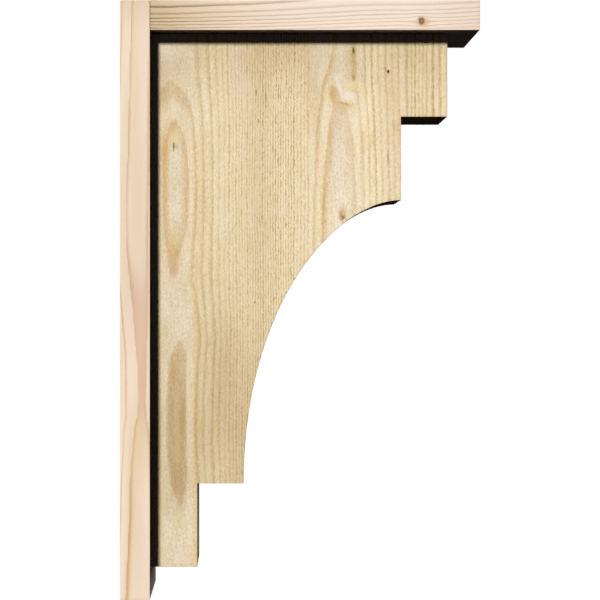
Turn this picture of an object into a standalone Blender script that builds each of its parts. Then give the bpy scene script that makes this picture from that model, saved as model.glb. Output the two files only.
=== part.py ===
"""A wooden corbel bracket: a stepped and scooped corbel between a back plate and a top plate.

Metres, +Z up. +X runs out from the wall, Y across the bracket, and the origin is the centre
of the back plate's rear face, which lies on the wall.
"""

import math

import bmesh
import bpy
from mathutils import Vector
from mathutils.geometry import interpolate_bezier

MM = 0.001

# The bracket as a whole
PROJECTION = 457.2 * MM
HEIGHT = 762.0 * MM

# The board that both plates are cut from
PLATE_WIDTH = 152.4 * MM
PLATE_THICKNESS = 38.1 * MM

# The corbel: its thickness, and how far the plates run past its nose and its foot
CORBEL_THICKNESS = 101.6 * MM
TOP_OVERHANG = 38.1 * MM
FOOT_OVERHANG = 38.1 * MM

# The corbel's square steps: one at the nose and its riser, one at the foot and its ledge
STEP_RUN = 59.5 * MM
STEP_RISE = 107.2 * MM

# The scoop between the steps: one Bezier curve, level where it leaves the riser and upright
# where it meets the ledge, and how far each handle reaches along the scoop's own run or rise
SCOOP_TOP_HANDLE = 0.40
SCOOP_FOOT_HANDLE = 0.645
SCOOP_SEGMENTS = 40

# How the pieces meet, and how their arrises are eased
JOINT_GAP = 0.3 * MM
ARRIS = 0.5 * MM
ARRIS_SEGMENTS = 2
SHARP_ANGLE = math.radians(30)

# When the corbel's drawn outline becomes a solid: points this near are one point, and faces
# this near to flat are one face
WELD = 0.01 * MM
FLAT_ANGLE = math.radians(0.1)

PINE_COLOUR = (0.84, 0.68, 0.51)
PINE_ROUGHNESS = 0.62
FIR_COLOUR = (0.77, 0.64, 0.42)
FIR_ROUGHNESS = 0.82


def clear_scene():
    for obj in list(bpy.data.objects):
        bpy.data.objects.remove(obj)


def wood(name, colour, roughness):
    material = bpy.data.materials.new(name)
    material.use_nodes = True
    shader = material.node_tree.nodes["Principled BSDF"]
    shader.inputs["Base Color"].default_value = (*colour, 1.0)
    shader.inputs["Roughness"].default_value = roughness
    shader.inputs["Metallic"].default_value = 0.0
    return material


def finish_piece(obj, name, material, collection):
    """Names a piece, eases its arrises and puts it in the bracket's collection."""
    obj.name = name
    obj.data.name = name
    obj.data.materials.append(material)
    bevel = obj.modifiers.new("eased_arrises", "BEVEL")
    bevel.width = ARRIS
    bevel.segments = ARRIS_SEGMENTS
    bevel.limit_method = "ANGLE"
    bevel.angle_limit = SHARP_ANGLE
    for other in list(obj.users_collection):
        other.objects.unlink(obj)
    collection.objects.link(obj)
    return obj


def board(low, high):
    """A square-edged board between two corners."""
    centre = [(a + b) / 2 for a, b in zip(low, high)]
    size = [b - a for a, b in zip(low, high)]
    bpy.ops.mesh.primitive_cube_add(size=1.0, location=centre)
    obj = bpy.context.object
    obj.scale = size
    bpy.ops.object.transform_apply(location=False, rotation=False, scale=True)
    return obj


def scoop(reach, drop):
    """The curve from the foot of the nose's riser down to the foot's ledge."""
    start = Vector((reach - STEP_RUN, -2 * STEP_RISE))
    end = Vector((2 * STEP_RUN, -(drop - STEP_RISE)))
    across = Vector((start.x - end.x, 0))
    up = Vector((0, start.y - end.y))
    top_handle = start - SCOOP_TOP_HANDLE * across
    foot_handle = end + SCOOP_FOOT_HANDLE * up
    return interpolate_bezier(start, top_handle, foot_handle, end, SCOOP_SEGMENTS + 1)


def corbel_outline(reach, drop):
    """The corbel's side view, from its top back corner: X out from the back plate, Y up."""
    nose = [(0, 0), (reach, 0), (reach, -STEP_RISE), (reach - STEP_RUN, -STEP_RISE)]
    foot = [(STEP_RUN, -(drop - STEP_RISE)), (STEP_RUN, -drop), (0, -drop)]
    return nose + scoop(reach, drop) + foot


def sawn_block(outline, thickness, location):
    """An upright block of an outline's shape, its thickness centred on the location."""
    curve = bpy.data.curves.new("outline", "CURVE")
    curve.dimensions = "2D"
    curve.fill_mode = "BOTH"
    curve.extrude = thickness / 2
    spline = curve.splines.new("POLY")
    spline.points.add(len(outline) - 1)
    for point, (x, y) in zip(spline.points, outline):
        point.co = (x, y, 0, 1)
    spline.use_cyclic_u = True
    drawn = bpy.data.objects.new("outline", curve)
    bpy.context.scene.collection.objects.link(drawn)
    drawn.rotation_euler = (math.radians(90), 0, 0)
    drawn.location = location
    bpy.context.view_layer.update()
    block = bpy.data.objects.new("block", mesh_of(drawn))
    block.matrix_world = drawn.matrix_world
    bpy.context.scene.collection.objects.link(block)
    bpy.data.objects.remove(drawn)
    return block


def mesh_of(drawn):
    """A curve object's solid as a mesh, with its loose caps welded on."""
    graph = bpy.context.evaluated_depsgraph_get()
    mesh = bpy.data.meshes.new_from_object(drawn.evaluated_get(graph))
    work = bmesh.new()
    work.from_mesh(mesh)
    bmesh.ops.remove_doubles(work, verts=work.verts, dist=WELD)
    bmesh.ops.dissolve_limit(work, angle_limit=FLAT_ANGLE, verts=work.verts, edges=work.edges)
    work.to_mesh(mesh)
    work.free()
    mesh.shade_smooth()
    mesh.set_sharp_from_angle(angle=SHARP_ANGLE)
    return mesh


def build():
    clear_scene()
    bracket = bpy.data.collections.new("corbel_bracket")
    bpy.context.scene.collection.children.link(bracket)
    pine = wood("planed_pine", PINE_COLOUR, PINE_ROUGHNESS)
    fir = wood("sawn_fir", FIR_COLOUR, FIR_ROUGHNESS)

    top = HEIGHT / 2
    half_width = PLATE_WIDTH / 2
    under_top_plate = top - PLATE_THICKNESS
    front_of_back_plate = PLATE_THICKNESS

    back_plate = board((0, -half_width, -top), (front_of_back_plate, half_width, top))
    finish_piece(back_plate, "back_plate", pine, bracket)

    top_plate = board(
        (front_of_back_plate + JOINT_GAP, -half_width, under_top_plate),
        (PROJECTION, half_width, top),
    )
    finish_piece(top_plate, "top_plate", pine, bracket)

    corner = (front_of_back_plate + JOINT_GAP, 0, under_top_plate - JOINT_GAP)
    reach = PROJECTION - TOP_OVERHANG - corner[0]
    drop = corner[2] + top - FOOT_OVERHANG
    corbel = sawn_block(corbel_outline(reach, drop), CORBEL_THICKNESS, corner)
    finish_piece(corbel, "corbel", fir, bracket)


build()
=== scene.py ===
"""Looks of a wooden corbel bracket: a rough-sawn fir corbel between two planed pine plates.

Metres, +Z up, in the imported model's frame: +X out from the wall, Y across the bracket, and the
side that the photograph shows faces -Y. Wood is drawn in millimetres: out from the wall, back
from the near side of its own board, and up from the bracket's mid-height.
"""

import math

import bmesh
import bpy
import numpy as np
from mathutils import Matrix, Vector


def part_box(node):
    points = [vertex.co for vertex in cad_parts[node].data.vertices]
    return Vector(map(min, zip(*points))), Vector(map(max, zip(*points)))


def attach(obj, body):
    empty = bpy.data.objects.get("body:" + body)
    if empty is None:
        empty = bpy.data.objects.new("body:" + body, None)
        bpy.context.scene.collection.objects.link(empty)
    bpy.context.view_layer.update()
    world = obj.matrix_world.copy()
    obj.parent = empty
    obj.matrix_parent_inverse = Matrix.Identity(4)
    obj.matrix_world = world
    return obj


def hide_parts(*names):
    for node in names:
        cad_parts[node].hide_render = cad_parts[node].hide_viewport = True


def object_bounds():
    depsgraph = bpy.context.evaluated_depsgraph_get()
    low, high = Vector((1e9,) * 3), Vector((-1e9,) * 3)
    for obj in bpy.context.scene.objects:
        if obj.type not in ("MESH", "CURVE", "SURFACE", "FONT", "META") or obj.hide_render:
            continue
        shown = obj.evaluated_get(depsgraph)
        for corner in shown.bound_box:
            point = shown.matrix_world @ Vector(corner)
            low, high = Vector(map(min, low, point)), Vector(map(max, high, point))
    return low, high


MM = 0.001
X, Y, Z = 0, 1, 2

# How finely each piece is cut before its surface is worked: across the grain, then along it
SAWN_CELL = (1.7 * MM, 6.0 * MM)
PLANED_CELL = (2.0 * MM, 5.0 * MM)

# Depth of the saw's and the plane's marks, all of it cut into the solid, and the share of it
# that is torn at random, where the rest follows the growth lines
SAWN_RELIEF = 0.30 * MM
SAWN_TEARING = 0.6
PLANED_RELIEF = 0.05 * MM
PLANED_TEARING = 0.2

# Faces that meet at more than this keep a crisp arris
ARRIS_ANGLE = math.radians(15)

# When a solid is copied: points this near are one point, faces this near to flat are one face,
# and a cut this near to a point goes through it
WELD = 0.005 * MM
FLAT_ANGLE = math.radians(0.1)
CUT_WITHIN = 0.002 * MM


# Wood: drifting lines, soft curves through chosen points, and soft spots

# A soft curve is smoothed by a bell of this many steps, which is an even number
BELL_STEPS = 24

# A drift is a sum of waves, each finer and weaker than the last, which lean a little
DRIFT_WAVES = 4
DRIFT_FINER = 1.8
DRIFT_LEAN = 0.15
DRIFT_PEAK = 1.6

# How far in from the near side a spot reaches, in millimetres
SPOT_DEPTH = 25


def soft_curve(points, at, softness):
    """Reads a curve that passes softly near (place, value) points at each given place."""
    places, values = zip(*points)
    step = softness / BELL_STEPS
    grid = np.arange(min(places) - softness, max(places) + softness, step)
    bell = np.hanning(BELL_STEPS + 1)
    drawn = np.pad(np.interp(grid, places, values), BELL_STEPS // 2, "edge")
    return np.interp(at, grid, np.convolve(drawn, bell / bell.sum(), "valid"))


def drift(seed, along, across, reach, spread):
    """A slow random drift between about -1 and 1, over a reach along and a spread across."""
    rng = np.random.default_rng(seed)
    total = np.zeros_like(along)
    for wave in range(DRIFT_WAVES):
        finer = DRIFT_FINER**wave
        lean, first, second = rng.uniform(0, math.tau, 3)
        leaning = along / reach + DRIFT_LEAN * math.sin(lean) * across / spread
        lengthwise = np.sin(math.tau * finer * leaning + first)
        total += lengthwise * np.cos(math.tau * finer * across / spread + second) / finer
    return total / DRIFT_PEAK


def spots(places, out, back, up):
    """Soft oval spots on the near side, each (out, up, wide, tall, amount), added together."""
    total = np.zeros_like(out)
    for spot_out, spot_up, wide, tall, amount in places:
        off = ((out - spot_out) / wide) ** 2 + ((up - spot_up) / tall) ** 2
        total += amount * np.exp(-off - (back / SPOT_DEPTH) ** 2)
    return total


# The corbel's growth lines. Its heart runs inside the block, behind a row of long ovals: how far
# out and how far back it is, and how wide a ring is round it
HEART_OUT = 71.0
HEART_BACK = 45.0
HEART_RING_WIDTH = 4.4

# How the heart sways outwards up the block, and how far from it the lines follow
HEART_SWAY = (
    (-345, 5),
    (-266, 5.5),
    (-232, 2.6),
    (-180, -2.6),
    (-129, -1.4),
    (-78, 2),
    (-52, 5.5),
    (28, -4.5),
    (130, -1.5),
    (232, -3),
    (288, -9),
    (345, -11),
)
SWAY_REACH = 60.0

# Growth lines on the near side: distance out from the ovals' middle, and the count of lines
LINES_OUT = (
    (0, 0.0),
    (8, 0.16),
    (14, 0.49),
    (20, 1.0),
    (26, 1.75),
    (37, 2.95),
    (49, 4.0),
    (57, 5.0),
    (64, 6.0),
    (69.5, 7.0),
    (74, 8.0),
    (82, 10.0),
    (150, 30.6),
    (171, 35.3),
    (210, 35.5),
    (222, 35.6),
    (229, 35.8),
    (241, 36.5),
    (257, 38.1),
    (274, 39.8),
    (287, 41.4),
    (298, 42.3),
    (322, 47.2),
    (347, 50.0),
)

# The count at the ovals' middle, up the block: a whole number is a line. Then how far it spreads
OVAL_RINGS = (
    (-345, 1.4),
    (-290, 1.3),
    (-276, 1.02),
    (-266, 0.94),
    (-252, 0.88),
    (-235, 0.8),
    (-215, 0.77),
    (-90, 0.76),
    (-76, 0.78),
    (-60, 0.88),
    (-52, 0.93),
    (-43, 1.02),
    (-30, 1.3),
    (5, 1.35),
    (26, 1.08),
    (32, 0.93),
    (38, 0.88),
    (51, 0.85),
    (64, 0.79),
    (77, 0.69),
    (98, 0.48),
    (120, 0.38),
    (185, 0.38),
    (207, 0.62),
    (221, 0.82),
    (237, 1.0),
    (243, 1.28),
    (251, 1.48),
    (268, 1.76),
    (283, 1.93),
    (291, 2.1),
    (345, 2.5),
)
OVAL_SPREAD = ((-300, 17), (-272, 19), (-45, 19), (-30, 17), (10, 17), (25, 24))

# An arch in the lines further out: its middle, its own line, and the count there up the block.
# Then how fast it opens to the left, how many lines its right leg drops and over what distance
# that fades, and the bump in its crown
ARCH_OUT = 280.8
ARCH_RING = 34.0
ARCH_MIDDLE = (
    (60, -0.9),
    (128, -0.8),
    (192, -0.52),
    (237, -0.25),
    (257, 0.0),
    (283, 0.3),
    (345, 0.35),
)
ARCH_OPENING = ((283, 0.0015), (300, 0.003), (325, 0.0075), (345, 0.01))
ARCH_DROP = 1.5
ARCH_FADE = 50.0
ARCH_TOP = ((272, 267, 8, 13, 0.45),)

# How far in from the near side the ovals and the arch reach
FIGURE_DEPTH = 60.0

# How wide the ridge is, in lines, where one count takes over from another
RIDGE = 0.12

# Close lines aren't evenly spaced: how far out from the ovals this starts, and over how many
# millimetres it comes in
UNEVEN_FROM = 50
UNEVEN_OVER = 30

# How strong the latewood is, by distance out from the ovals' middle
LATE_STRENGTH = (
    (0, 0.5),
    (20, 0.5),
    (28, 0.52),
    (60, 0.58),
    (80, 0.6),
    (100, 0.8),
    (120, 1.0),
    (160, 1.0),
    (178, 0.8),
    (190, 1.0),
    (205, 0.75),
    (235, 0.6),
    (290, 0.7),
    (345, 0.95),
)

# The lines fade out towards the wall
FADE_OUT = ((42, 0.2), (54, 1.0))

# A dull tint, going up the block and going out from the wall, added together. High up the
# block it is painted shade under the top plate; lower down it is duller wood
SHADE_UP = (
    (-345, 0.2),
    (-290, 0.22),
    (-240, 0.58),
    (-170, 0.75),
    (-90, 0.4),
    (-20, 0.2),
    # From here up: painted shade under the top plate
    (240, 0.18),
    (268, 0.26),
    (292, 0.42),
    (318, 0.55),
    (345, 0.6),
)
SHADE_OUT = (
    (38, 0.3),
    (60, 0.26),
    (90, 0.14),
    (112, 0.05),
    (150, 0.05),
    (176, 0.3),
    (200, 0.03),
    (260, -0.05),
    (325, -0.12),
    (350, 0.12),
    (400, 0.05),
    (420, 0.0),
)

# Pale wood inside the upper ovals, where the latewood is weaker. An amount below zero is the
# opposite: stronger latewood low in the lower oval
CORBEL_CLEAR = (
    (67.5, 150, 9.5, 62, 0.8),
    (66, 248, 10, 7, 0.5),
    (66, 268, 20, 9, 0.4),
    (73, -235, 14, 32, -0.5),
)

# Painted shade under the top plate, and duller wood in the arch and above the foot's ledge. An
# amount below zero is the opposite: clear wood in the top corner by the wall and beside the lower
# oval
CORBEL_DARKER = (
    # Spots with a positive amount from about 290 up are painted shade under the top plate
    (228, 338, 34, 22, 0.22),
    (275, 300, 14, 22, 0.2),
    (285, 165, 14, 60, 0.2),
    (60, 300, 28, 18, 0.2),
    (56, 345, 22, 38, -0.45),
    (246, 270, 13, 48, 0.25),
    (298, 292, 13, 24, 0.3),
    (89, -155, 5, 85, -0.3),
    (56, -155, 6, 85, -0.3),
    (124, -50, 27, 92, 0.35),
    (140, -85, 22, 60, 0.15),
)

# Amber wood: the ovals and the lines beside them, the arch's crown and legs, the foot's edge
CORBEL_AMBER = (
    (66, 60, 9, 30, 0.35),
    (55.5, 152, 4, 60, 0.45),
    (83, 152, 4, 60, 0.36),
    (56, 195, 6, 20, 0.45),
    (67, 224, 8, 12, 0.5),
    (66, 268, 20, 10, 0.3),
    (52, 264, 6, 12, 0.25),
    (68, 62, 7, 14, 0.3),
    (73, -155, 11, 100, 0.25),
    (67, -92, 5, 22, 0.45),
    (96, 20, 4, 160, 0.3),
    (107, 110, 7, 110, 0.22),
    (96, -160, 4, 90, 0.2),
    (84, -140, 3, 40, 0.15),
    (246, 250, 10, 60, 0.25),
    (259, 120, 5, 60, 0.45),
    (268, 215, 4, 35, 0.3),
    (272, 264, 7, 13, 0.55),
    (290, 254, 9, 4, 0.45),
    (286, 246, 13, 8, 0.2),
    (296, 272, 9, 8, 0.35),
    (298, 312, 4, 18, 0.4),
    (310.4, 205, 3, 20, 0.5),
    (322, 205, 2.5, 8, 0.45),
    (300, 192, 3, 16, 0.3),
    (353, 222, 5, 6, 0.5),
    (95, -300, 4, 40, 0.15),
    (95, -328, 9, 18, 0.38),
    (96, -270, 3, 60, 0.25),
)


def soft_least(first, second):
    """The lesser of two counts, with the ridge between them rounded off."""
    return -RIDGE * np.logaddexp(-first / RIDGE, -second / RIDGE)


def corbel_wood(out, back, up):
    """Ring number, latewood strength, shade and amber at points of the corbel."""
    near = np.exp(-((back / FIGURE_DEPTH) ** 2))
    wander = 0.9 * drift(3, up, out, reach=330, spread=260)
    wander = wander + 0.35 * drift(4, up, out, reach=75, spread=24)
    aside = out - HEART_OUT
    sway = soft_curve(HEART_SWAY, up, softness=30) * np.exp(-((aside / SWAY_REACH) ** 2))
    aside = aside - sway + wander
    radius = np.hypot(aside, HEART_BACK - back)
    reach = np.sqrt(np.maximum(radius**2 - HEART_BACK**2, 0))
    inner = (radius - HEART_BACK) / HEART_RING_WIDTH
    outer = soft_curve(LINES_OUT, reach, softness=8)
    rings = np.where(radius > HEART_BACK, outer, inner)

    spread = soft_curve(OVAL_SPREAD, up, softness=16)
    oval = soft_curve(OVAL_RINGS, up, softness=8) * np.exp(-(np.abs(aside / spread) ** 3))
    beside = out - ARCH_OUT + wander
    middle = soft_curve(ARCH_MIDDLE, up, softness=16)
    opening = soft_curve(ARCH_OPENING, up, softness=16)
    left_leg = soft_least(rings, ARCH_RING + middle + opening * beside**2)
    right_leg = rings + (middle - ARCH_DROP) / (1 + (beside / ARCH_FADE) ** 2)
    arch = np.where(beside < 0, left_leg, right_leg) - spots(ARCH_TOP, out, back, up)
    far_wave = (1 - near) * 1.2 * drift(8, up, back, reach=420, spread=300)
    uneven = 0.22 * np.sin(reach / 1.8 + 1) + 0.16 * np.sin(reach / 1.13 + up / 90)
    rings = rings + uneven * np.clip((reach - UNEVEN_FROM) / UNEVEN_OVER, 0, 1)
    rings = rings + near * (oval + arch - rings) + far_wave

    strength = soft_curve(LATE_STRENGTH, reach, softness=16)
    strength = strength * soft_curve(FADE_OUT, out, softness=6)
    strength = strength * (1 - spots(CORBEL_CLEAR, out, back, up))
    # Duller wood, and high up the block painted shade under the top plate
    shade = soft_curve(SHADE_UP, up, softness=40) + soft_curve(SHADE_OUT, out, softness=14)
    shade = shade + spots(CORBEL_DARKER, out, back, up)
    return rings, strength, shade, spots(CORBEL_AMBER, out, back, up)


# The top plate's growth lines: depth below its top at the wall end, and the count of lines.
# Their heart is above the board
TOP_HEART_ABOVE = 110.0
TOP_LINES = (
    (-40, -5.0),
    (0, 0.0),
    (9.5, 1.0),
    (18.2, 2.0),
    (23.4, 3.0),
    (27.7, 4.0),
    (31.9, 5.0),
    (35.7, 6.0),
    (61, 12.0),
)

# How the lines rise going out, all of them and those near the top
RISE_ALL = ((89, 0), (153, 0.4), (222, 1.3), (292, 4), (356, 6.9), (407, 7.9), (457, 10.5))
RISE_TOP = ((40, 0), (89, 0.8), (153, 2.7), (222, 4.3), (292, 6.6), (356, 5.4), (457, 5))

# The knot on its near edge, and how far the lines bend round it: out, up and in
KNOT_OUT = 383.0
KNOT_UP = 354.5
KNOT_BEND = (14, 6, 50)

# The top plate's latewood strength and shade going out, and its amber spots
TOP_STRENGTH = ((38, 1.0), (90, 0.8), (150, 0.62), (240, 0.45), (457, 0.4))
TOP_SHADE = ((38, 0.85), (89, 0.4), (153, 0.15), (222, 0.08), (300, 0), (380, 0), (457, 0.25))
TOP_AMBER = ((70, 360, 90, 25, 0.45), (KNOT_OUT + 2, KNOT_UP - 2, 9, 7, 0.7))


def top_plate_wood(out, back, up):
    """Ring number, latewood strength, shade and amber at points of the top plate."""
    half, thick = PLATE_SIZE[Y] / 2, PLATE_SIZE[Z]
    from_knot = zip((out - KNOT_OUT, up - KNOT_UP, back), KNOT_BEND)
    off_knot = sum((away / bend) ** 2 for away, bend in from_knot)
    pushed = KNOT_UP + (up - KNOT_UP) * (1 - 0.9 * np.exp(-off_knot))
    below = BOX_TOP - pushed
    fan = np.clip(1 - below / thick, 0, 1) ** 1.5
    rise = soft_curve(RISE_ALL, out, softness=30)
    rise = rise + soft_curve(RISE_TOP, out, softness=30) * fan
    depth = below + rise + 0.3 * drift(5, out, up, reach=190, spread=60)
    aside = half - back + 3 * drift(6, out, back, reach=600, spread=200)
    level = np.sqrt((TOP_HEART_ABOVE + depth) ** 2 + aside**2 - half**2) - TOP_HEART_ABOVE
    rings = soft_curve(TOP_LINES, level, softness=3)
    strength = soft_curve(TOP_STRENGTH, out, softness=40)
    shade = soft_curve(TOP_SHADE, out, softness=40)
    return rings, strength, shade, spots(TOP_AMBER, out, back, up)


# The back plate's growth lines: one long oval on the near edge, its middle and its half-width
# going up, and the count at its middle. Their heart is past the far edge
OVAL_MIDDLE = (
    (-381, 29.7),
    (-331, 29.6),
    (-229, 26.8),
    (-147, 28),
    (-77, 28),
    (0, 25.4),
    (75, 21.6),
    (126, 22.3),
    (253, 24.4),
    (381, 28.1),
)
OVAL_HALF_WIDTH = (
    (-381, 22.3),
    (-331, 19.9),
    (-280, 16.1),
    (-191, 11.2),
    (-166, 9.3),
    (-147, 5.1),
    (-127, 4.4),
    (-77, 6.4),
    (0, 10.6),
    (75, 13.8),
    (126, 14.3),
    (215, 12.7),
    (381, 12.7),
)
OVAL_COUNT = (
    (-381, 0.3),
    (-216, 0.35),
    (-172, 0.55),
    (-128, 0.9),
    (-80, 0.82),
    (0, 0.8),
    (25, 0.68),
    (60, 0.45),
    (120, 0.35),
    (240, 0.38),
    (300, 0.45),
    (381, 0.4),
)

# How far past the oval's border the next line runs, how far back from the near edge the heart
# is, and how wide a ring is
LINE_OUTSIDE = ((-381, 11.5), (-280, 12), (-191, 12.7), (-127, 17), (-64, 14.6), (381, 13))
BACK_HEART = 185.0
BACK_RING_WIDTH = 4.5

# The back plate's amber spots, its shade and latewood strength going up, and how much stronger
# the latewood is outside the oval
BACK_AMBER = (
    (14.5, -250, 3.5, 40, 0.5),
    (12.5, -310, 3.5, 45, 0.5),
    (10, -370, 3.5, 40, 0.5),
    (24, -182, 14, 45, 0.5),
    (20, -290, 6, 70, 0.25),
    (20, 290, 5, 90, 0.35),
)
BACK_SHADE = (
    (-381, 0.16),
    (-200, 0.14),
    (-90, 0.18),
    (0, 0.36),
    (130, 0.36),
    (300, 0.2),
    (350, 0.25),
    (375, 0.55),
)
BACK_STRENGTH = ((-381, 0.6), (-260, 0.58), (-180, 0.5), (-100, 0.58), (0, 0.58), (381, 0.5))
OUTSIDE_STRONGER = 1.5


def back_plate_wood(out, back, up):
    """Ring number, latewood strength, shade and amber at points of the back plate."""
    wander = 0.4 * drift(12, up, out, reach=160, spread=200)
    aside = np.abs(out - soft_curve(OVAL_MIDDLE, up, softness=40) + wander)
    half_width = soft_curve(OVAL_HALF_WIDTH, up, softness=20)
    count = soft_curve(OVAL_COUNT, up, softness=20)
    inside = count + (1 - count) * (aside / half_width) ** 3.5
    beyond = np.maximum(aside - half_width, 0) / soft_curve(LINE_OUTSIDE, up, softness=20)
    outside = 1 + np.where(beyond < 1, beyond**2.5, beyond)
    edge = np.where(aside < half_width, inside, outside)
    deeper = np.hypot(aside, BACK_HEART) - np.hypot(aside, BACK_HEART - back)
    wave = 1.5 * drift(14, up, back, reach=700, spread=220) * np.clip(back / 60, 0, 1)
    rings = edge - (deeper + wave) / BACK_RING_WIDTH
    strength = soft_curve(BACK_STRENGTH, up, softness=60)
    strength = strength * (1 + 0.25 * drift(15, up, out, reach=300, spread=60))
    strength = strength * np.where(aside < half_width, 1, OUTSIDE_STRONGER)
    shade = soft_curve(BACK_SHADE, up, softness=60)
    shade = shade + 0.08 * drift(16, up, out, reach=400, spread=50)
    return rings, strength, shade, spots(BACK_AMBER, out, back, up)


# Pieces

# The part of a ring over which its latewood sets in, from the ring's start
LATEWOOD_SETS_IN = (0.5, 0.8)

# Half the step, in millimetres, over which the growth lines' closeness is measured
SLOPE_STEP = 0.5


def cut_across(work, axis, cell):
    """Cuts a solid straight through at every cell along an axis, all in one mesh."""
    places = [v.co[axis] for v in work.verts]
    low, high = min(places), max(places)
    count = max(1, round((high - low) / cell))
    normal = Vector([axis == a for a in (X, Y, Z)])
    for i in range(1, count):
        bmesh.ops.bisect_plane(
            work,
            geom=work.verts[:] + work.edges[:] + work.faces[:],
            dist=CUT_WITHIN,
            plane_co=normal * (low + (high - low) * i / count),
            plane_no=normal,
        )


def board_from(node, name, cell_size):
    """A CAD solid copied as one closed skin, cut into cells of the given size on each axis."""
    work = bmesh.new()
    work.from_mesh(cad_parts[node].data)
    bmesh.ops.remove_doubles(work, verts=work.verts, dist=WELD)
    bmesh.ops.dissolve_limit(work, angle_limit=FLAT_ANGLE, verts=work.verts, edges=work.edges)
    for axis, cell in enumerate(cell_size):
        cut_across(work, axis, cell)
    mesh = bpy.data.meshes.new(name)
    work.to_mesh(mesh)
    work.free()
    mesh.shade_smooth()
    mesh.set_sharp_from_angle(angle=ARRIS_ANGLE)
    piece = bpy.data.objects.new(name, mesh)
    bpy.context.scene.collection.objects.link(piece)
    return piece


def points_of(piece):
    """A piece's points and their outward directions, as two arrays."""
    mesh = piece.data
    points = np.zeros(len(mesh.vertices) * 3)
    mesh.vertices.foreach_get("co", points)
    normals = np.zeros(len(mesh.vertices) * 3)
    mesh.vertex_normals.foreach_get("vector", normals)
    return points.reshape(-1, 3), normals.reshape(-1, 3)


def keep(piece, name, kind, values):
    """Keeps a value for each of a piece's points, for its material to read."""
    attribute = piece.data.attributes.new(name, kind, "POINT")
    attribute.data.foreach_set("vector" if kind == "FLOAT_VECTOR" else "value", values.ravel())


def ring_slope(wood, places, normals):
    """How fast the ring number changes over a piece's surface, in rings per millimetre."""
    slope = np.zeros_like(normals)
    for axis in (X, Y, Z):
        step = np.zeros(3)
        step[axis] = SLOPE_STEP
        change = wood(*(places + step).T)[0] - wood(*(places - step).T)[0]
        slope[:, axis] = change / (2 * SLOPE_STEP)
    slope -= (slope * normals).sum(axis=1, keepdims=True) * normals
    return np.linalg.norm(slope, axis=1)


def work_surface(piece, wood, along, relief, tearing):
    """Draws the wood through a piece and cuts its surface back to the plane's or saw's marks.

    The growth lines stay proud, because latewood is harder than the wood between.
    """
    points, normals = points_of(piece)
    near_side = np.array([0, points[:, Y].min(), 0])
    places = (points - near_side) / MM
    rings, strength, shade, amber = wood(*places.T)
    late = np.interp(rings % 1, LATEWOOD_SETS_IN, (0, 1)) * np.clip(strength, 0, 1)
    rng = np.random.default_rng(len(points))
    torn = rng.random(len(points))
    depth = relief * ((1 - tearing) * (1 - late) + tearing * torn)
    worked = points - normals * depth[:, None]
    piece.data.vertices.foreach_set("co", worked.ravel())
    grain = points.copy()
    grain[:, [along, Z]] = points[:, [Z, along]]
    keep(piece, "grain", "FLOAT_VECTOR", grain)
    keep(piece, "ring", "FLOAT", rings)
    keep(piece, "slope", "FLOAT", ring_slope(wood, places, normals))
    keep(piece, "strength", "FLOAT", np.clip(strength, 0, 1))
    keep(piece, "shade", "FLOAT", np.clip(shade, 0, 1))
    keep(piece, "amber", "FLOAT", np.clip(amber, 0, 1))
    keep(piece, "end_grain", "FLOAT", np.abs(normals[:, along]))
    piece.data.update()


def dress(piece, node, material):
    """Puts a piece in its node's place, on the bracket's one body."""
    piece.data.materials.append(material)
    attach(piece, "root")
    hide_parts(node)


# Materials. A wood fibre is about 0.03 mm across, too fine to show here, so fibres are drawn in
# bundles about 1 mm across, and the splinters lifted by the saw are drawn as wide

# Millimetres across the grain of the soft wood's pale and warm clouds, and of the areas where
# lifted splinters lean one way
MOTTLE = 9.0
LEANING = 22.0

# Patterns are longer along the grain than across it: their places are squeezed by this much
TEAR_SQUEEZE = (1, 1, 0.4)
DASH_SQUEEZE = (1, 1, 0.12)
MOTTLE_SQUEEZE = (1, 1, 0.18)
FIBRE_SQUEEZE = (1, 1, 0.06)

# The part of a noise pattern's range that is used, from nothing to all of it
NOISE_RANGE = (0.3, 0.7)
DASH_RANGE = (0.32, 0.68)
LEANING_RANGE = (0.42, 0.58)

# How strong the strongest ring's latewood is, and how much blush the palest cloud has
STRONGEST_RING = 1.1
CLOUD_BLUSH = 0.5

# A ring's latewood ends sharply, over the last of the ring
LATEWOOD_ENDS = (0.94, 1.0)

# Lines this close, in rings per millimetre, count as fully fine
FINE_LINES = 0.25

# Where rings are wide there is more blush, down to none extra at this fineness
WIDE_RING_BLUSH = 0.65
WIDE_RING_FINENESS = 0.4

# A single mark: how deep into the board it reaches in millimetres, how ragged its outline is,
# and where it starts and is whole, as shares of its half-width
MARK_DEPTH = 60
MARK_RAGGED = 0.25
MARK_EDGE = (1.25, 0.5)

# Wood's own value is near 1.5; cut fibres make it a little lower
WOOD_IOR = 1.45


def linear(code):
    """An sRGB hex colour as the linear colour that a shader takes."""
    parts = [int(code[i : i + 2], 16) / 255 for i in (1, 3, 5)]
    parts = [p / 12.92 if p <= 0.04045 else ((p + 0.055) / 1.055) ** 2.4 for p in parts]
    return (*parts, 1.0)


def add(tree, kind, inputs, **settings):
    """Adds a node to a material: its settings, then its sockets' values and links."""
    node = tree.nodes.new("ShaderNode" + kind)
    for name, value in settings.items():
        setattr(node, name, value)
    for socket, value in inputs.items():
        if isinstance(value, bpy.types.NodeSocket):
            tree.links.new(value, node.inputs[socket])
        else:
            node.inputs[socket].default_value = value
    return node


def cells(size):
    """The scale of a pattern whose cells are a given number of millimetres across."""
    return 1 / (size * MM)


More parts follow.
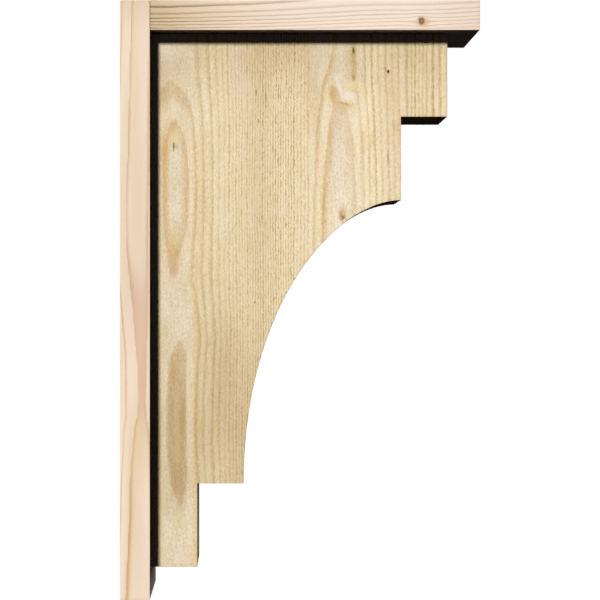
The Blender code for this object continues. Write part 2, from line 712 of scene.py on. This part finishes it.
def wood_finish(name, colours, ramp, jag, dash, fibre, speck, bump, marks, roughness):
    """Bare wood: growth lines, fibres, torn specks, stains, a dull tint that is partly painted
    shade, and darker end grain.

    Sizes across the grain are in millimetres. ramp is the part of a ring over which latewood
    comes in. jag pushes a line to and fro by so many millimetres, and at most by a part of a
    ring. dash makes lines come and go along the grain by its depth, and one ring stronger than
    another by its rings, with first as the number that this starts from.
    fibre and speck tint the wood by their tone and stand up from it by their height.
    """
    material = bpy.data.materials.new(name)
    material.use_nodes = True
    tree = material.node_tree
    shader = tree.nodes["Principled BSDF"]
    place = add(tree, "TexCoord", {}).outputs["Object"]
    read = {
        key: add(tree, "Attribute", {}, attribute_name=key).outputs["Fac"]
        for key in ("ring", "slope", "strength", "shade", "amber", "end_grain")
    }
    grain = add(tree, "Attribute", {}, attribute_name="grain").outputs["Vector"]

    # Torn edges push each growth line to and fro by a fraction of a millimetre
    torn = add(tree, "Mapping", {"Vector": grain, "Scale": TEAR_SQUEEZE}).outputs[0]
    tear = add(
        tree,
        "TexNoise",
        {"Vector": torn, "Scale": cells(jag["across"]), "Detail": 2.0, "Roughness": 0.7},
        normalize=False,
    ).outputs[0]
    wide = add(tree, "Math", {0: read["slope"], 1: jag["mm"]}, operation="MULTIPLY").outputs[0]
    reach = add(tree, "Math", {0: wide, 1: jag["most"]}, operation="MINIMUM").outputs[0]
    pushed = add(
        tree, "Math", {0: tear, 1: reach, 2: read["ring"]}, operation="MULTIPLY_ADD"
    ).outputs[0]
    part = add(tree, "Math", {0: pushed}, operation="FRACT").outputs[0]
    rise = add(
        tree,
        "MapRange",
        {"Value": part, "From Min": ramp[0], "From Max": ramp[1]},
        interpolation_type="SMOOTHSTEP",
    ).outputs[0]
    fall = add(
        tree,
        "MapRange",
        {"Value": part, "From Min": LATEWOOD_ENDS[1], "From Max": LATEWOOD_ENDS[0]},
    ).outputs[0]
    band = add(tree, "Math", {0: rise, 1: fall}, operation="MULTIPLY").outputs[0]

    # No two rings are alike, and each comes and goes along the grain
    whole = add(tree, "Math", {0: pushed}, operation="FLOOR").outputs[0]
    own_ring = add(tree, "Math", {0: whole, 1: dash["first"]}).outputs[0]
    own = add(tree, "TexWhiteNoise", {"W": own_ring}, noise_dimensions="1D").outputs
    weight = add(
        tree,
        "MapRange",
        {"Value": own["Value"], "To Min": 1 - dash["rings"], "To Max": STRONGEST_RING},
    ).outputs[0]
    long_grain = add(tree, "Mapping", {"Vector": grain, "Scale": DASH_SQUEEZE}).outputs[0]
    come_and_go = add(
        tree, "TexNoise", {"Vector": long_grain, "Scale": cells(dash["across"]), "Detail": 2.0}
    ).outputs[0]
    more_or_less = add(
        tree,
        "MapRange",
        {
            "Value": come_and_go,
            "From Min": DASH_RANGE[0],
            "From Max": DASH_RANGE[1],
            "To Min": -dash["depth"],
            "To Max": dash["depth"],
        },
    ).outputs[0]
    fineness = add(
        tree, "Math", {0: read["slope"], 1: FINE_LINES}, operation="DIVIDE", use_clamp=True
    ).outputs[0]
    length = add(
        tree, "Math", {0: more_or_less, 1: fineness, 2: 1.0}, operation="MULTIPLY_ADD"
    ).outputs[0]
    heavy = add(tree, "Math", {0: weight, 1: read["strength"]}, operation="MULTIPLY").outputs[0]
    drawn = add(tree, "Math", {0: band, 1: heavy}, operation="MULTIPLY").outputs[0]
    line = add(
        tree, "Math", {0: drawn, 1: length}, operation="MULTIPLY", use_clamp=True
    ).outputs[0]

    # The soft wood between is mottled, with more blush in wide rings, and the latewood is tan in
    # one ring and olive in another
    patch = add(tree, "Mapping", {"Vector": grain, "Scale": MOTTLE_SQUEEZE}).outputs[0]
    mottle = add(
        tree, "TexNoise", {"Vector": patch, "Scale": cells(MOTTLE), "Detail": 3.0}
    ).outputs[0]
    clouds = add(
        tree,
        "MapRange",
        {
            "Value": mottle,
            "From Min": NOISE_RANGE[0],
            "From Max": NOISE_RANGE[1],
            "To Max": CLOUD_BLUSH,
        },
    ).outputs[0]
    wider = add(
        tree,
        "MapRange",
        {
            "Value": fineness,
            "From Max": WIDE_RING_FINENESS,
            "To Min": WIDE_RING_BLUSH,
            "To Max": 0.0,
        },
    ).outputs[0]
    share = add(tree, "Math", {0: clouds, 1: wider}, operation="ADD", use_clamp=True).outputs[0]
    soft = add(
        tree,
        "Mix",
        {0: share, 6: linear(colours["early"]), 7: linear(colours["blush"])},
        data_type="RGBA",
    ).outputs[2]
    hard = add(
        tree,
        "Mix",
        {0: own["Value"], 6: linear(colours["late"]), 7: linear(colours["olive"])},
        data_type="RGBA",
    ).outputs[2]
    colour = add(tree, "Mix", {0: line, 6: soft, 7: hard}, data_type="RGBA").outputs[2]

    # Fibres run along the grain; the cutter lifted specks that lean one way or the other
    drawn_out = add(tree, "Mapping", {"Vector": grain, "Scale": FIBRE_SQUEEZE}).outputs[0]
    fibres = add(
        tree, "TexNoise", {"Vector": drawn_out, "Scale": cells(fibre["across"]), "Detail": 3.0}
    ).outputs[0]
    leaning = []
    for lean in (-speck["lean"], speck["lean"]):
        slant = add(
            tree,
            "Mapping",
            {
                "Vector": grain,
                "Rotation": (0, math.radians(lean), 0),
                "Scale": (1, 1, speck["length"]),
            },
            vector_type="TEXTURE",
        ).outputs[0]
        leaning.append(
            add(
                tree, "TexNoise", {"Vector": slant, "Scale": cells(speck["across"]), "Detail": 2.0}
            ).outputs[0]
        )
    which = add(
        tree, "TexNoise", {"Vector": grain, "Scale": cells(LEANING), "Detail": 1.0}
    ).outputs[0]
    turn = add(
        tree,
        "MapRange",
        {"Value": which, "From Min": LEANING_RANGE[0], "From Max": LEANING_RANGE[1]},
    ).outputs[0]
    specks = add(
        tree, "Mix", {0: turn, 2: leaning[0], 3: leaning[1]}, data_type="FLOAT"
    ).outputs[0]

    # The three patterns tint the wood a little, less so where lines are close
    calm = add(
        tree, "MapRange", {"Value": fineness, "To Min": 1.0, "To Max": speck["among_rings"]}
    ).outputs[0]
    tone = None
    for pattern, strength in (
        (fibres, fibre["tone"]),
        (specks, speck["tone"]),
        (mottle, speck["clouds"]),
    ):
        level = add(
            tree,
            "MapRange",
            {
                "Value": pattern,
                "From Min": NOISE_RANGE[0],
                "From Max": NOISE_RANGE[1],
                "To Min": -strength,
                "To Max": strength,
            },
        ).outputs[0]
        tone = add(
            tree,
            "Math",
            {0: level, 1: calm, 2: 1.0 if tone is None else tone},
            operation="MULTIPLY_ADD",
        ).outputs[0]
    colour = add(tree, "VectorMath", {0: colour, "Scale": tone}, operation="SCALE").outputs[0]

    # Each tint multiplies the wood's colour by its own, by as much as its attribute says. The
    # shade tint is duller wood, and on the corbel high up also painted shade under the top plate;
    # amber and the darker end grain are the wood's own
    for key, stain in (("shade", "dusk"), ("amber", "amber"), ("end_grain", "heart")):
        colour = add(
            tree,
            "Mix",
            {0: read[key], 6: colour, 7: linear(colours[stain])},
            data_type="RGBA",
            blend_type="MULTIPLY",
        ).outputs[2]

    # Single marks on the near side, each with a ragged outline
    for mark in marks:
        out, up = mark["at"]
        wide, tall = mark["half"]
        away = add(
            tree,
            "Mapping",
            {
                "Vector": place,
                "Location": (out * MM, -BOX_WIDTH / 2 * MM, up * MM),
                "Rotation": (0, math.radians(mark.get("turn", 0)), 0),
                "Scale": (wide * MM, MARK_DEPTH * MM, tall * MM),
            },
            vector_type="TEXTURE",
        ).outputs[0]
        distance = add(tree, "VectorMath", {0: away}, operation="LENGTH").outputs["Value"]
        ragged = add(
            tree, "Math", {0: tear, 1: MARK_RAGGED, 2: distance}, operation="MULTIPLY_ADD"
        ).outputs[0]
        cover = add(
            tree,
            "MapRange",
            {
                "Value": ragged,
                "From Min": MARK_EDGE[0],
                "From Max": MARK_EDGE[1],
                "To Max": mark["cover"],
            },
            interpolation_type="SMOOTHSTEP",
        ).outputs[0]
        colour = add(
            tree, "Mix", {0: cover, 6: colour, 7: linear(mark["colour"])}, data_type="RGBA"
        ).outputs[2]
    tree.links.new(colour, shader.inputs["Base Color"])

    # Latewood stands a little proud of the softer wood between
    height = None
    for pattern, strength in (
        (fibres, fibre["height"]),
        (specks, speck["height"]),
        (line, bump["line"]),
    ):
        height = add(
            tree,
            "Math",
            {0: pattern, 1: strength, 2: 0.0 if height is None else height},
            operation="MULTIPLY_ADD",
        ).outputs[0]
    surface = add(
        tree, "Bump", {"Height": height, "Strength": bump["strength"], "Distance": MM}
    ).outputs[0]
    tree.links.new(surface, shader.inputs["Normal"])
    shader.inputs["Roughness"].default_value = roughness
    shader.inputs["IOR"].default_value = WOOD_IOR
    return material


# Single marks, where they are out and up and how far they reach, the first ones lowest: stains
# and pale or golden areas, pores, resin streaks, pin knots, and a near-black dot that is
# painted shade in a small hole
FIR_MARKS = (
    {"at": (67.6, 38.0), "half": (6.6, 11.0), "colour": "#CFAC8C", "cover": 0.8},
    {"at": (59.0, 288.0), "half": (2.4, 7.0), "colour": "#DDB48C", "cover": 0.6},
    {"at": (56.5, -41.0), "half": (5.0, 11.0), "colour": "#D3C48C", "cover": 0.6},
    {"at": (56.5, -268.0), "half": (5.0, 12.0), "colour": "#D3C48C", "cover": 0.6},
    {"at": (68.5, 80.0), "half": (9.0, 16.0), "colour": "#E0CB8E", "cover": 0.55},
    {"at": (68.0, 208.0), "half": (8.5, 15.0), "colour": "#E6D096", "cover": 0.55},
    {"at": (67.5, 60.0), "half": (6.5, 13.0), "colour": "#D0B47A", "cover": 0.4},
    {"at": (67.4, 197.5), "half": (1.4, 7.5), "colour": "#6E5838", "cover": 0.9},
    {"at": (70.5, 197.0), "half": (2.6, 4.0), "colour": "#B9A98A", "cover": 0.5},
    {"at": (159.0, 268.0), "half": (18.0, 28.0), "colour": "#EAD6BC", "cover": 0.3},
    {"at": (146.0, 296.0), "half": (13.0, 40.0), "colour": "#EAD4C8", "cover": 0.22},
    {"at": (54.0, 190.0), "half": (3.2, 28.0), "colour": "#DDB37C", "cover": 0.55},
    {"at": (71.5, -175.0), "half": (5.0, 50.0), "colour": "#D6BD86", "cover": 0.4},
    {"at": (79.0, -148.0), "half": (2.4, 27.0), "colour": "#BE9454", "cover": 0.6},
    {"at": (82.0, -150.0), "half": (1.7, 62.0), "colour": "#AE9064", "cover": 0.4},
    {"at": (347.0, 250.0), "half": (20.0, 62.0), "colour": "#E2BF9B", "cover": 0.22},
    {"at": (86.0, -145.0), "half": (3.0, 75.0), "colour": "#F0E0C8", "cover": 0.25},
    {"at": (173.5, 267.5), "half": (1.1, 5.5), "colour": "#87744F", "cover": 0.8},
    {"at": (185.7, 261.0), "half": (1.0, 11.0), "colour": "#87744F", "cover": 0.75},
    {"at": (176.7, 230.0), "half": (1.0, 4.0), "colour": "#87744F", "cover": 0.75},
    {"at": (171.6, -3.0), "half": (1.3, 1.8), "colour": "#7C6238", "cover": 0.9},
    {"at": (271.0, 268.0), "half": (5.5, 13.0), "colour": "#D0AC76", "cover": 0.6},
    {"at": (285.0, 248.0), "half": (15.0, 5.0), "colour": "#DDC08E", "cover": 0.6},
    {"at": (297.0, 276.0), "half": (12.0, 9.0), "colour": "#EBDBA6", "cover": 0.7},
    {"at": (293.5, 262.0), "half": (10.0, 7.0), "colour": "#F4E5D0", "cover": 0.8},
    {"at": (280.0, 275.0), "half": (3.2, 18.0), "colour": "#F0E0CD", "cover": 0.8, "turn": -19},
    {"at": (287.0, 252.5), "half": (10.0, 2.2), "colour": "#BF9A64", "cover": 0.6, "turn": 15},
    {"at": (298.3, 318.0), "half": (3.6, 11.0), "colour": "#B6A263", "cover": 0.5},
    {"at": (298.3, 320.5), "half": (1.6, 5.5), "colour": "#5E5022", "cover": 1.0},
    {"at": (298.3, 286.0), "half": (2.2, 5.5), "colour": "#A8913F", "cover": 0.8},
    {"at": (339.0, 297.5), "half": (1.4, 3.5), "colour": "#A5805C", "cover": 0.8, "turn": -25},
    # A near-black dot: painted shade in a small hole
    {"at": (343.0, 293.6), "half": (2.1, 3.1), "colour": "#23140C", "cover": 1.0},
    {"at": (284.5, 110.0), "half": (6.0, 13.0), "colour": "#D2AE76", "cover": 0.75},
    {"at": (282.0, 109.0), "half": (2.4, 8.0), "colour": "#B98C50", "cover": 0.7},
    {"at": (285.5, 106.5), "half": (2.8, 3.4), "colour": "#94693A", "cover": 0.9},
    {"at": (342.5, 183.0), "half": (1.5, 11.0), "colour": "#C58F5A", "cover": 0.7},
)

# The top plate's knot: its halo, its ring and its middle
KNOT_MARKS = (
    {"at": (KNOT_OUT + 1, KNOT_UP - 1), "half": (8.5, 6.5), "colour": "#D3A987", "cover": 0.6},
    {"at": (KNOT_OUT, KNOT_UP), "half": (4.8, 4.5), "colour": "#7E4E36", "cover": 0.95},
    {"at": (KNOT_OUT, KNOT_UP), "half": (2.0, 1.8), "colour": "#B08058", "cover": 0.9},
)


def rough_sawn_fir():
    """Fir off the band saw, never planed: dull straw, tan latewood and lifted fibres."""
    return wood_finish(
        "rough_sawn_fir",
        colours={
            "early": "#F5E3BA",
            "blush": "#F3E4CB",
            "late": "#CBA274",
            "olive": "#C6AA70",
            "dusk": "#D6CCBA",
            "amber": "#F0D28F",
            "heart": "#C9A77A",
        },
        ramp=(0.40, 0.86),
        jag={"across": 1.6, "mm": 1.5, "most": 0.33},
        dash={"across": 1.55, "depth": 0.55, "rings": 0.6, "first": 7.0},
        fibre={"across": 0.9, "tone": 0.07, "height": 0.2},
        speck={
            "across": 1.0,
            "length": 4.0,
            "lean": 30,
            "tone": 0.2,
            "height": 0.5,
            "among_rings": 0.55,
            "clouds": 0.05,
        },
        bump={"line": 0.15, "strength": 0.6},
        marks=FIR_MARKS,
        roughness=0.85,
    )


def planed_pine(name, early, late, brown, marks):
    """Pine board off the planer: pale and pinkish, with fine growth lines, hardly glossy."""
    return wood_finish(
        name,
        colours={
            "early": early,
            "blush": "#F6DFCA",
            "late": late,
            "olive": brown,
            "dusk": "#D6CDB4",
            "amber": "#E9E0B2",
            "heart": "#E8D2B8",
        },
        ramp=(0.48, 0.96),
        jag={"across": 5.5, "mm": 0.35, "most": 0.2},
        dash={"across": 3.3, "depth": 0.2, "rings": 0.3, "first": 3.0},
        fibre={"across": 1.1, "tone": 0.02, "height": 0.06},
        speck={
            "across": 2.0,
            "length": 2.0,
            "lean": 10,
            "tone": 0.012,
            "height": 0.02,
            "among_rings": 1.0,
            "clouds": 0.01,
        },
        bump={"line": 0.03, "strength": 0.3},
        marks=marks,
        roughness=0.55,
    )


# Studio

FLOOR_RADIUS = 4.0
FLOOR_BELOW = 1.7

# How bright the pale world is where the camera sees it, and as a light
WORLD_SEEN = 1.0
WORLD_LIGHT = 0.01


def sun(name, heading, strength, angle):
    """A lamp as far off as the sun, shining along a heading, with a soft edge to its shadows."""
    data = bpy.data.lights.new(name, "SUN")
    data.energy = strength
    data.angle = math.radians(angle)
    lamp = bpy.data.objects.new(name, data)
    lamp.rotation_euler = Vector(heading).to_track_quat("-Z", "Y").to_euler()
    bpy.context.scene.collection.objects.link(lamp)


def studio():
    """Pale floor and world, one soft key from the upper left and weaker lamps all round.

    The photograph's shadows are nearly black, so the floor sends no light back up, and the
    lamps behind and in front only show the sides that the photograph doesn't.
    """
    sun("key", (0.444, 1.0, -0.576), 3.85, 9.5)
    sun("far_side", (0.3, -1.0, -0.5), 2.6, 20)
    sun("wall_side", (1.0, -0.25, -0.3), 1.6, 30)
    sun("front", (-1.0, -0.45, -0.25), 0.45, 30)
    sun("under", (-0.1, 0.1, 1.0), 0.18, 60)

    world = bpy.data.worlds.new("pale_studio")
    bpy.context.scene.world = world
    world.use_nodes = True
    tree = world.node_tree
    seen = add(tree, "LightPath", {}).outputs["Is Camera Ray"]
    fill = tree.nodes["Background"]
    fill.inputs["Color"].default_value = (1, 1, 1, 1)
    level = add(
        tree, "MapRange", {"Value": seen, "To Min": WORLD_LIGHT, "To Max": WORLD_SEEN}
    ).outputs[0]
    tree.links.new(level, fill.inputs["Strength"])

    work = bmesh.new()
    bmesh.ops.create_circle(work, cap_ends=True, segments=96, radius=FLOOR_RADIUS)
    bmesh.ops.translate(work, verts=work.verts, vec=(0.2, 0, -FLOOR_BELOW))
    mesh = bpy.data.meshes.new("floor")
    work.to_mesh(mesh)
    work.free()
    floor = bpy.data.objects.new("floor", mesh)
    bpy.context.scene.collection.objects.link(floor)
    floor.visible_diffuse = False
    floor.visible_glossy = False
    paint = bpy.data.materials.new("pale_floor")
    paint.use_nodes = True
    shader = paint.node_tree.nodes["Principled BSDF"]
    shader.inputs["Base Color"].default_value = linear("#F4F2EF")
    shader.inputs["Roughness"].default_value = 0.9
    floor.data.materials.append(paint)


def camera():
    """Straight on to the bracket's side, at the distance that the photograph's edges give."""
    data = bpy.data.cameras.new("photograph")
    data.sensor_width = 36.0
    data.lens = 101.3
    data.shift_x = 0.0997
    eye = bpy.data.objects.new("photograph", data)
    eye.location = (0.1528, -2.2200, 0.0001)
    eye.rotation_euler = (math.radians(90), 0, 0)
    bpy.context.scene.collection.objects.link(eye)
    bpy.context.scene.camera = eye


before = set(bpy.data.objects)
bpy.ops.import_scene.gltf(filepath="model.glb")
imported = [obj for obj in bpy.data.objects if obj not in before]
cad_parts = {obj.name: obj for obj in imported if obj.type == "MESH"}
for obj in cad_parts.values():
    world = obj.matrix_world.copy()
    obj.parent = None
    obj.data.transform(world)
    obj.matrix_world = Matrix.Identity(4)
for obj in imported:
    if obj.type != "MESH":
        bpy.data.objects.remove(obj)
cad_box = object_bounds()
BOX_TOP = cad_box[1][Z] / MM
BOX_WIDTH = (cad_box[1][Y] - cad_box[0][Y]) / MM
PLATE_SIZE = [(b - a) / MM for a, b in zip(*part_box("top_plate"))]

camera()
studio()

# Plain colours as the photograph has them, and no light thrown from face to face, because its
# shadowed faces are nearly black
bpy.context.scene.view_settings.view_transform = "Standard"
bpy.context.scene.cycles.diffuse_bounces = 0

fir = rough_sawn_fir()
salmon_pine = planed_pine("planed_pine_salmon", "#F8E5CD", "#D89D77", "#D5A27B", ())
brown_pine = planed_pine("planed_pine_brown", "#F7E3D1", "#9C7350", "#98744C", KNOT_MARKS)

across, along = SAWN_CELL
corbel = board_from("corbel", "corbel_sawn", (across, across, along))
work_surface(corbel, corbel_wood, Z, SAWN_RELIEF, SAWN_TEARING)
dress(corbel, "corbel", fir)

across, along = PLANED_CELL
back_plate = board_from("back_plate", "back_plate_board", (across, across, along))
work_surface(back_plate, back_plate_wood, Z, PLANED_RELIEF, PLANED_TEARING)
dress(back_plate, "back_plate", salmon_pine)

top_plate = board_from("top_plate", "top_plate_board", (along, across, across))
work_surface(top_plate, top_plate_wood, X, PLANED_RELIEF, PLANED_TEARING)
dress(top_plate, "top_plate", brown_pine)
